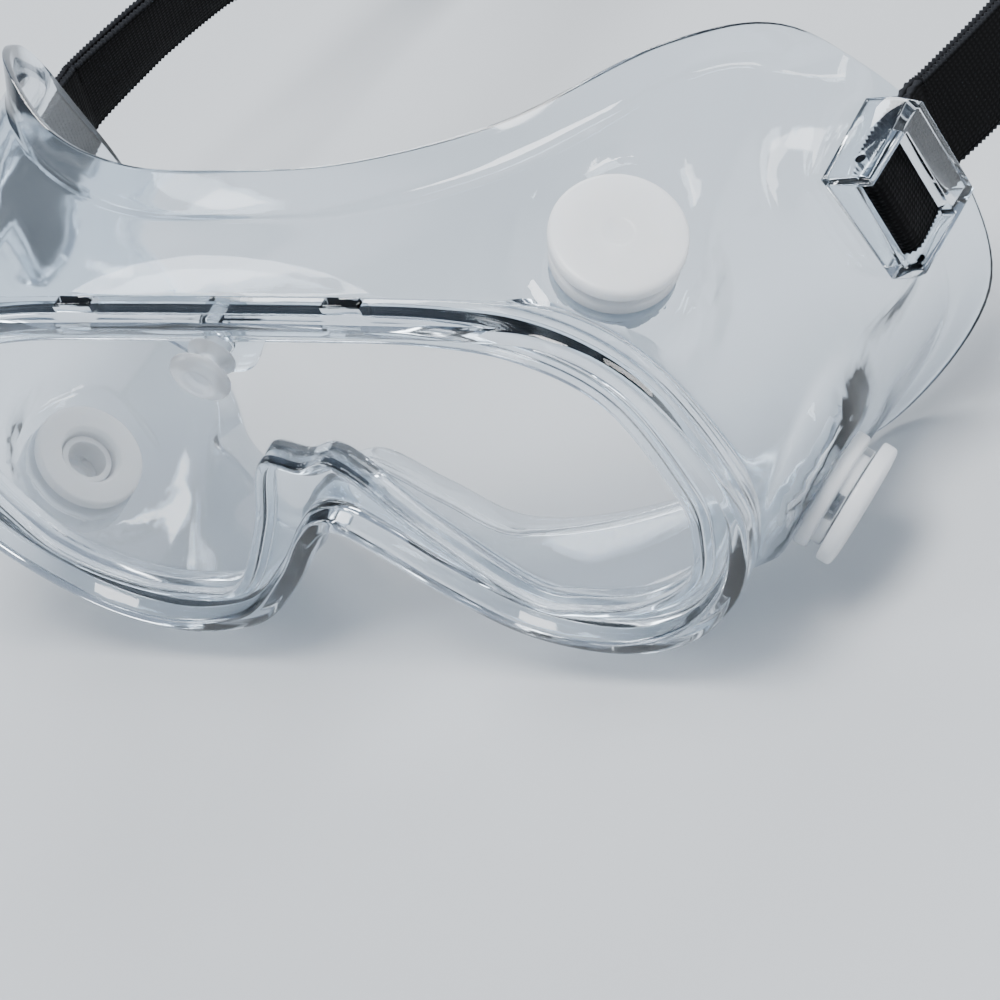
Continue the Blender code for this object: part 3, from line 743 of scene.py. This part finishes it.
def make_vents():
    body, cap = vent_body_mesh(), vent_cap_mesh()
    for level, (place, normal) in VENTS.items():
        for side, hand in ((1, "left"), (-1, "right")):
            home = axis_home(place, normal, side)
            for kind, data, rides in (("body", body, "goggles"), ("cap", cap, f"cap_{level}_{hand}")):
                obj = new_object(f"vent_{kind}_{level}_{hand}_look", data.copy(), MILKY)
                obj.matrix_world = home
                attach(obj, rides)
                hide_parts(f"vent_{kind}_{level}_{hand}")


def make_stud():
    stem_end = -(LENS_BACK + 4.2)
    points = [
        (0, STUD_TIP - 0.7), (1.9, STUD_TIP - 0.7), (2.3, STUD_TIP - 0.2), (2.9, STUD_TIP - 0.2),
        (STUD_DISC_R - 0.5, 6.6), (STUD_DISC_R, 6.1), (STUD_DISC_R, 5.7), (STUD_DISC_R - 0.3, 5.4),
        (2.4, 4.9), (1.7, 4.2), (1.9, 3.2), (3.4, 2.3), (STUD_RING_R, 2.1), (STUD_RING_R, 1.9),
        (STUD_STEM_R, 1.9), (STUD_STEM_R, -6.0), (1.6, stem_end), (0, stem_end),
    ]
    stud = revolve("stud_look", rounded_profile(points, 0.3, 3), 64, False)
    back = -(RIM_BACK + GAP)
    ring = [(STUD_STEM_R + GAP, back), (3.6, back), (3.6, back - 1.3), (STUD_STEM_R + GAP, back - 1.3)]
    washer = revolve("stud_washer_look", rounded_profile(ring, 0.25, 3, True), 48, True)
    for obj, node in ((stud, "lens_stud"), (washer, "lens_stud_washer")):
        wear(obj, FROSTED)
        obj.matrix_world = stud_home()
        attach(obj, "goggles")
        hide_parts(node)


# Clips, band and keepers


def axis_frame(place, normal, up):
    """Local X along normal, local Z as near to up as it can be, origin at place."""
    across = up.cross(normal).normalized()
    turn = Matrix((normal, across, normal.cross(across))).transposed().to_4x4()
    return Matrix.Translation(place) @ turn


def clip_frame():
    return axis_frame(CLIP_CENTRE, CLIP_OUT, Vector((0, 0, 1)))


def pad_frame():
    return axis_frame(CLIP_CENTRE, PAD_NORMAL, Vector((0, 0, 1)))


def mirrored(home):
    return Matrix.Scale(-1, 4, (1, 0, 0)) @ home


def clip_block(name):
    """The clip's outer form without its windows: upright side walls that slant in above CLIP_FACE."""
    half = CLIP_HEIGHT / 2
    upper = ((-3.0, half), (CLIP_FACE, half), (CLIP_REAR_RISE + 1.0, half - CLIP_WALL + 0.25))
    outline = list(upper) + [(h, -v) for h, v in reversed(upper)]
    bm = bmesh.new()
    ends = [[bm.verts.new((h, y, v)) for h, v in outline] for y in (-CLIP_LENGTH / 2, CLIP_LENGTH / 2)]
    count = len(outline)
    for i in range(count):
        j = (i + 1) % count
        bm.faces.new((ends[0][i], ends[0][j], ends[1][j], ends[1][i]))
    bm.faces.new(ends[0])
    bm.faces.new(ends[1])
    return new_object(name, mesh_from(bm, name))


def clip_cuts():
    """The clip's windows and its sloping top, in its own frame."""
    clear = CLIP_HEIGHT - 2 * CLIP_WALL
    half = CLIP_LENGTH / 2
    front = CLIP_FRONT_WALL - half
    bar = half - CLIP_BAR
    slope = math.atan2(CLIP_REAR_RISE - CLIP_FRONT_RISE, CLIP_LENGTH)
    rise = (CLIP_FRONT_RISE + CLIP_REAR_RISE) / 2
    tall = 12.0
    tilt = Matrix.Translation(Vector((rise + tall / 2, 0, 0)) * MM) @ Matrix.Rotation(-slope, 4, "Z")
    return [
        box("passage", (tall, 30, clear), (CLIP_BAR_LOW - tall / 2, front + 15, 0)),
        box("window", (2 * tall, bar - front, clear), (tall - 4, (bar + front) / 2, 0)),
        box("front_top", (tall, 4, clear), (CLIP_FRONT_TOP + tall / 2, front - 1.5, 0)),
        box("slope", (tall, 40, 40), (0, 0, 0), tilt),
    ]


def make_clip(hand, home, pad):
    obj = clip_block(f"clip_{hand}_look")
    boolean(obj, clip_cuts(), "DIFFERENCE")
    foot = box("foot", (12, 40, 40), (GAP - 6, 0, 0), metric(home).inverted() @ metric(pad))
    boolean(obj, [foot], "DIFFERENCE")
    tidy_mesh(obj)
    round_edges(obj, CLIP_EDGE, 3, 25)
    rod_home = Matrix.Translation(Vector((ROD_HEIGHT, ROD_ALONG, 0)) * MM)
    rod = drum(f"rod_{hand}", ROD_R, 1 - CLIP_HEIGHT / 2, CLIP_HEIGHT / 2 - 1, rod_home, 32)
    boolean(obj, [rod], "UNION")
    tidy_mesh(obj)
    wear(obj, CLIP_LOOK)
    obj.matrix_world = metric(home)
    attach(obj, "goggles")
    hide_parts(f"strap_clip_{hand}")


def leaning(degrees):
    """The direction of the band's width, leaning in at its top by an angle."""
    angle = math.radians(degrees)
    return Vector((-math.sin(angle), 0, math.cos(angle)))


def in_clip(along, height):
    """A point of the band's middle line in the clip, with the width direction there."""
    home = clip_frame()
    return home @ Vector((height, along, -STRAP_LOW)), home.to_3x3().col[2].copy()


def run_point(hand, distance):
    return RUN_START[hand] + RUN_WAY * distance


def band_controls(hand):
    """Points that the band passes through, from the clip's rod to the back, with the width direction."""
    upper = ROD_HEIGHT + LOOP_R
    controls = [in_clip(ROD_ALONG, upper), in_clip(3.0, upper), in_clip(8.2, 4.1), in_clip(12.0, 3.5)]
    points = BAND_LEFT if hand == "left" else BAND_RIGHT
    controls += [(Vector(point[:3]), leaning(point[3])) for point in points]
    controls += [(run_point(hand, distance), leaning(RUN_LEAN)) for distance in RUN_POINTS]
    side = 1 if hand == "left" else -1
    back = Vector((STRAP_BACK.x * side, STRAP_BACK.y, STRAP_BACK.z))
    beyond = TURN["right" if hand == "left" else "left"][-1]
    turn = [*TURN[hand], back, Vector((-beyond.x, beyond.y, beyond.z))]
    return controls + [(point, leaning(0)) for point in turn]


def smooth_stations(controls, steps):
    """Stations on the smooth curve through the controls, from the first to the last but one."""
    controls = [controls[0]] + controls
    stations = []
    for i in range(1, len(controls) - 2):
        for step in range(steps):
            corners = controls[i - 1 : i + 3]
            t = step / steps
            place = between(*(c[0] for c in corners), t)
            stations.append((place, corners[1][1].lerp(corners[2][1], t)))
    stations.append(controls[-2])
    return stations


def folded_end(hand, stations):
    """The folded-back end, from its tip under the straight run to the foot of the clip's rod."""
    last = (len(band_controls(hand)) - 5) * BAND_STEPS
    under = []
    for k in range(2 * BAND_STEPS, last + 1):
        place, width = stations[k]
        way = stations[k + 1][0] - stations[k - 1][0]
        under.append((place - way.cross(width).normalized() * LAYER, width))
    lower = ROD_HEIGHT - LOOP_R
    return list(reversed(under)) + [in_clip(3.0, lower), in_clip(ROD_ALONG, lower)]


def side_of_band(hand):
    """One side's stations from the tip of its folded-back end to the middle of the back."""
    stations = smooth_stations(band_controls(hand), BAND_STEPS)
    loop = []
    for k in range(1, 16):
        turn = -math.pi / 2 - math.pi * k / 16
        loop.append(in_clip(ROD_ALONG + LOOP_R * math.cos(turn), ROD_HEIGHT + LOOP_R * math.sin(turn)))
    return folded_end(hand, stations) + loop + stations


def resampled(stations, step):
    """The stations again at an even spacing along the band, each with its distance from the start."""
    lengths = [0.0]
    for one, two in zip(stations, stations[1:]):
        lengths.append(lengths[-1] + (two[0] - one[0]).length)
    count = round(lengths[-1] / step)
    out = []
    k = 0
    for i in range(count + 1):
        along = lengths[-1] * i / count
        while k < len(stations) - 2 and lengths[k + 1] < along:
            k += 1
        t = (along - lengths[k]) / (lengths[k + 1] - lengths[k])
        place, width = (a.lerp(b, t) for a, b in zip(stations[k], stations[k + 1]))
        out.append((place, width.normalized(), along))
    return out


def band_rows():
    """Centre, outward direction, width direction and distance along the whole band."""
    flip = Vector((-1, 1, 1))
    right = [(p * flip, w * flip) for p, w in reversed(side_of_band("right")[:-1])]
    stations = resampled(side_of_band("left") + right, PICOT / 2)
    rows = []
    for k, (place, width, along) in enumerate(stations):
        way = (stations[min(k + 1, len(stations) - 1)][0] - stations[max(k - 1, 0)][0]).normalized()
        normal = way.cross(width).normalized()
        rows.append((place, normal, normal.cross(way).normalized(), along))
    return rows


def make_strap():
    """One band with rounded edges whose outermost threads stand out as small loops."""
    half_t, half_w = STRAP_THICK / 2, STRAP_WIDTH / 2
    edge = ((0.5, 1), (0.85, 0.985), (1, 0.95), (1, 0.9), (0.82, 0.88), (1, 0.86))
    section = list(edge) + [(1, 0.4), (1, 0), (1, -0.4)] + [(a, -b) for a, b in reversed(edge)]
    section += [(-a, b) for a, b in reversed(section)]
    bm = bmesh.new()
    uv = bm.loops.layers.uv.new("band")
    rings = []
    for k, (centre, normal, width, along) in enumerate(band_rows()):
        notch = PICOT_DEPTH if k % 2 else 0.0
        ring = []
        for a, b in section:
            across = b * half_w
            thin = 1.0
            if abs(b) > 0.94:
                across -= math.copysign(notch, b)
                thin = 0.7 if k % 2 else 1.0
            point = centre + normal * half_t * a * thin + width * across
            ring.append((bm.verts.new(point), along, across))
        rings.append(ring)
    size = len(section)
    for one, two in zip(rings, rings[1:]):
        for i in range(size):
            j = (i + 1) % size
            corners = (one[i], one[j], two[j], two[i])
            face = bm.faces.new([c[0] for c in corners])
            for loop, (_, along, across) in zip(face.loops, corners):
                loop[uv].uv = (along, across)
    bm.faces.new([c[0] for c in rings[0]])
    bm.faces.new([c[0] for c in rings[-1]])
    obj = new_object("elastic_band", mesh_from(bm, "elastic_band", 50), ELASTIC)
    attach(obj, "goggles")
    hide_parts("strap")


def keeper_frame(hand):
    """On the straight run, halfway between the band's two layers: X outwards, Y along it, Z up."""
    normal = RUN_WAY.cross(leaning(RUN_LEAN)).normalized()
    place = run_point(hand, KEEPER_AT) - normal * LAYER / 2
    turn = Matrix((normal, RUN_WAY, normal.cross(RUN_WAY))).transposed().to_4x4()
    home = Matrix.Translation(place) @ turn
    return home if hand == "left" else mirrored(home)


def make_keeper(hand):
    inside = (LAYER + STRAP_THICK + 2 * GAP, 2 * KEEPER_LENGTH, STRAP_WIDTH + 2 * GAP)
    outside = (inside[0] + 2 * KEEPER_WALL, KEEPER_LENGTH, inside[2] + 2 * KEEPER_WALL)
    obj = box(f"keeper_{hand}_look", outside)
    round_edges(obj, KEEPER_EDGE, 4)
    boolean(obj, [box("keeper_hollow", inside)], "DIFFERENCE")
    tidy_mesh(obj)
    wear(obj, BLACK)
    obj.matrix_world = metric(keeper_frame(hand))
    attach(obj, f"slider_{hand}")
    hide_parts(f"strap_slider_{hand}")


make_frame()
make_lens()
make_vents()
make_stud()
make_strap()
make_clip("left", clip_frame(), pad_frame())
make_clip("right", mirrored(clip_frame()), mirrored(pad_frame()))
for hand in ("left", "right"):
    make_keeper(hand)


# The studio


def make_floor():
    look, tree, shader = node_material("pale_floor")
    shader.inputs["Base Color"].default_value = (0.52, 0.535, 0.55, 1)
    shader.inputs["Roughness"].default_value = 0.7
    bm = bmesh.new()
    bmesh.ops.create_grid(bm, x_segments=1, y_segments=1, size=4.0)
    floor = new_object("floor", mesh_from(bm, "floor", scale=1.0), look)
    floor.location.z = cad_box[0].z - 0.0005


def add_light(name, place, target, size, power, colour=(1, 1, 1)):
    data = bpy.data.lights.new(name, "AREA")
    data.shape = "RECTANGLE"
    data.size, data.size_y = size
    data.energy = power
    data.color = colour
    lamp = bpy.data.objects.new(name, data)
    lamp.location = place
    lamp.rotation_euler = (Vector(target) - Vector(place)).to_track_quat("-Z", "Y").to_euler()
    bpy.context.scene.collection.objects.link(lamp)


def make_world():
    world = bpy.data.worlds.new("studio")
    world.use_nodes = True
    back = world.node_tree.nodes["Background"]
    back.inputs["Color"].default_value = (0.66, 0.79, 1.0, 1)
    back.inputs["Strength"].default_value = 0.42
    bpy.context.scene.world = world


def make_camera():
    """The camera at the photograph's viewing angle: its place, and its forward and right directions."""
    place = Vector((0.4274, -0.3956, 0.4468))
    ahead = Vector((-0.557142, 0.534956, -0.635149)).normalized()
    right = Vector((0.8118, 0.4011, -0.4243))
    right = (right - ahead * right.dot(ahead)).normalized()
    up = right.cross(ahead)
    data = bpy.data.cameras.new("camera")
    data.sensor_width = 36.0
    data.lens = 177.48
    data.clip_start, data.clip_end = 0.01, 20.0
    camera = bpy.data.objects.new("camera", data)
    turn = Matrix((right, up, -ahead)).transposed().to_4x4()
    camera.matrix_world = Matrix.Translation(place) @ turn
    bpy.context.scene.collection.objects.link(camera)
    bpy.context.scene.camera = camera


make_floor()
make_world()
add_light("key", (0.25, -0.15, 1.1), (0, 0.03, 0), (0.5, 0.5), 20)
add_light("fill", (-0.9, -0.7, 0.6), (0, 0.03, 0), (0.25, 0.9), 10, (0.9, 0.95, 1.0))
add_light("back", (-0.3, 1.1, 0.7), (0, 0.03, 0), (1.2, 0.25), 16, (0.95, 0.98, 1.0))
add_light("side", (1.1, 0.5, 0.35), (0.05, 0.03, 0), (0.2, 0.8), 6)
make_camera()
